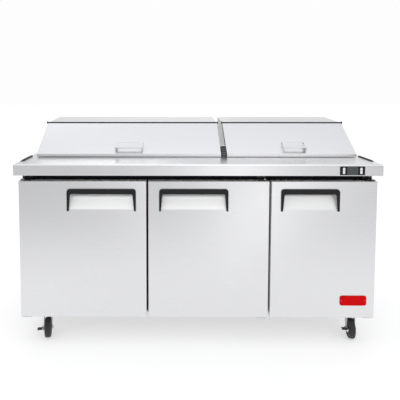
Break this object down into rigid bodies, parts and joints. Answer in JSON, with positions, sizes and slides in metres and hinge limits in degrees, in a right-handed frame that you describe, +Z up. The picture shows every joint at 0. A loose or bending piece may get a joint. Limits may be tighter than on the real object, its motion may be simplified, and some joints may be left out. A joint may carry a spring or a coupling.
{
  "type": "sandwich prep table",
  "caption": "Refrigerated stainless sandwich preparation table with hinged doors, sloping flip-up lids over food pans, a front controller and swivel castors.",
  "frame": {"origin": "on the floor, under the middle of the table's outer box", "axes": "+X to the user's right along the length, +Y from the user towards the back, +Z up"},
  "size_m": [1.847, 0.762, 1.125],
  "materials": {
    "stainless_steel": "satin",
    "liner_metal": "satin",
    "door_liner": "satin",
    "dark_steel": "satin",
    "black_plastic": "satin",
    "frame_black": "satin",
    "gasket_rubber": "matte",
    "wheel_rubber": "matte",
    "button_white": "satin",
    "display_dark": "gloss",
    "foam": "matte",
    "badge_red": "gloss",
    "machine_black": "satin"
  },
  "bodies": {
    "cabinet": {"outer_casing": "stainless_steel", "insulation": "foam", "inner_liner": "liner_metal", "front_frame": "frame_black", "base_pan": "dark_steel", "worktop": "stainless_steel", "end_trim_left": "black_plastic", "end_trim_right": "black_plastic", "lid_divider": "black_plastic", "hinge_top_1": "dark_steel", "hinge_top_2": "dark_steel", "hinge_top_3": "dark_steel", "hinge_bottom_1": "dark_steel", "hinge_bottom_2": "dark_steel", "hinge_bottom_3": "dark_steel", "controller_bezel": "black_plastic", "controller_display": "display_dark", "shelf_1": "liner_metal", "shelf_2": "liner_metal", "shelf_3": "liner_metal", "pan_full_left": "stainless_steel", "pan_two_thirds_left": "stainless_steel", "pan_full_right": "stainless_steel", "condensing_unit": "machine_black", "evaporator": "liner_metal", "rear_grille": "dark_steel"},
    "door_1": {"door_1_panel": "stainless_steel", "door_1_liner": "door_liner", "door_1_gasket": "gasket_rubber", "door_1_handle": "black_plastic"},
    "door_2": {"door_2_panel": "stainless_steel", "door_2_liner": "door_liner", "door_2_gasket": "gasket_rubber", "door_2_handle": "black_plastic"},
    "door_3": {"door_3_panel": "stainless_steel", "door_3_liner": "door_liner", "door_3_gasket": "gasket_rubber", "door_3_handle": "black_plastic", "nameplate": "badge_red"},
    "hood_left": {"hood_left": "stainless_steel", "hinge_strip_left": "black_plastic"},
    "flap_left": {"flap_left": "stainless_steel", "flap_handle_left": "stainless_steel"},
    "hood_right": {"hood_right": "stainless_steel", "hinge_strip_right": "black_plastic"},
    "flap_right": {"flap_right": "stainless_steel", "flap_handle_right": "stainless_steel"},
    "caster_front_left": {"caster_fork_front_left": "dark_steel"},
    "wheel_front_left": {"caster_wheel_front_left": "wheel_rubber"},
    "brake_front_left": {"brake_lever_front_left": "stainless_steel"},
    "caster_front_right": {"caster_fork_front_right": "dark_steel"},
    "wheel_front_right": {"caster_wheel_front_right": "wheel_rubber"},
    "brake_front_right": {"brake_lever_front_right": "stainless_steel"},
    "caster_rear_left": {"caster_fork_rear_left": "dark_steel"},
    "wheel_rear_left": {"caster_wheel_rear_left": "wheel_rubber"},
    "caster_rear_right": {"caster_fork_rear_right": "dark_steel"},
    "wheel_rear_right": {"caster_wheel_rear_right": "wheel_rubber"},
    "button_left": {"button_left": "button_white"},
    "button_right": {"button_right": "button_white"},
    "fan": {"condenser_fan": "black_plastic"}
  },
  "joints": [
    {"name": "door_1_hinge", "type": "hinge", "parent": "cabinet", "child": "door_1", "pos_m": [-0.882, -0.346, 0.498], "axis": [0, 0, -1], "range_deg": [0, 90], "stiffness_Nm_per_rad": 0.6},
    {"name": "door_2_hinge", "type": "hinge", "parent": "cabinet", "child": "door_2", "pos_m": [0.342, -0.346, 0.498], "axis": [0, 0, 1], "range_deg": [0, 90], "stiffness_Nm_per_rad": 0.6},
    {"name": "door_3_hinge", "type": "hinge", "parent": "cabinet", "child": "door_3", "pos_m": [0.882, -0.346, 0.498], "axis": [0, 0, 1], "range_deg": [0, 90], "stiffness_Nm_per_rad": 0.6},
    {"name": "hood_left_tilt", "type": "hinge", "parent": "cabinet", "child": "hood_left", "pos_m": [-0.365, 0.377, 0.9415], "axis": [-1, 0, 0], "range_deg": [0, 85]},
    {"name": "flap_left_hinge", "type": "hinge", "parent": "hood_left", "child": "flap_left", "pos_m": [-0.365, 0.092, 1.11], "axis": [-1, 0, 0], "range_deg": [0, 195]},
    {"name": "hood_right_tilt", "type": "hinge", "parent": "cabinet", "child": "hood_right", "pos_m": [0.5295, 0.377, 0.9415], "axis": [-1, 0, 0], "range_deg": [0, 85]},
    {"name": "flap_right_hinge", "type": "hinge", "parent": "hood_right", "child": "flap_right", "pos_m": [0.5295, 0.092, 1.11], "axis": [-1, 0, 0], "range_deg": [0, 195]},
    {"name": "caster_front_left_swivel", "type": "hinge", "parent": "cabinet", "child": "caster_front_left", "pos_m": [-0.79, -0.262, 0.13], "axis": [0, 0, 1], "continuous": true},
    {"name": "wheel_front_left_roll", "type": "hinge", "parent": "caster_front_left", "child": "wheel_front_left", "pos_m": [-0.78479, -0.29154, 0.051], "axis": [-0.9848, -0.1736, 0], "continuous": true},
    {"name": "brake_front_left_press", "type": "hinge", "parent": "caster_front_left", "child": "brake_front_left", "pos_m": [-0.78479, -0.29154, 0.051], "axis": [0.9848, 0.1736, 0], "range_deg": [0, 25]},
    {"name": "caster_front_right_swivel", "type": "hinge", "parent": "cabinet", "child": "caster_front_right", "pos_m": [0.82, -0.262, 0.13], "axis": [0, 0, 1], "continuous": true},
    {"name": "wheel_front_right_roll", "type": "hinge", "parent": "caster_front_right", "child": "wheel_front_right", "pos_m": [0.81634, -0.29178, 0.051], "axis": [-0.9925, 0.1219, 0], "continuous": true},
    {"name": "brake_front_right_press", "type": "hinge", "parent": "caster_front_right", "child": "brake_front_right", "pos_m": [0.81634, -0.29178, 0.051], "axis": [0.9925, -0.1219, 0], "range_deg": [0, 25]},
    {"name": "caster_rear_left_swivel", "type": "hinge", "parent": "cabinet", "child": "caster_rear_left", "pos_m": [-0.79, 0.318, 0.13], "axis": [0, 0, 1], "continuous": true},
    {"name": "wheel_rear_left_roll", "type": "hinge", "parent": "caster_rear_left", "child": "wheel_rear_left", "pos_m": [-0.78791, 0.28807, 0.051], "axis": [-0.9976, -0.0698, 0], "continuous": true},
    {"name": "caster_rear_right_swivel", "type": "hinge", "parent": "cabinet", "child": "caster_rear_right", "pos_m": [0.82, 0.318, 0.13], "axis": [0, 0, 1], "continuous": true},
    {"name": "wheel_rear_right_roll", "type": "hinge", "parent": "caster_rear_right", "child": "wheel_rear_right", "pos_m": [0.81791, 0.28807, 0.051], "axis": [-0.9976, 0.0698, 0], "continuous": true},
    {"name": "button_left_press", "type": "slide", "parent": "cabinet", "child": "button_left", "axis": [0, 1, 0], "range_m": [0, 0.001], "stiffness_N_per_m": 300},
    {"name": "button_right_press", "type": "slide", "parent": "cabinet", "child": "button_right", "axis": [0, 1, 0], "range_m": [0, 0.001], "stiffness_N_per_m": 300},
    {"name": "condenser_fan_spin", "type": "hinge", "parent": "cabinet", "child": "fan", "pos_m": [-0.32, 0.281, 0.275], "axis": [0, 1, 0], "continuous": true}
  ]
}
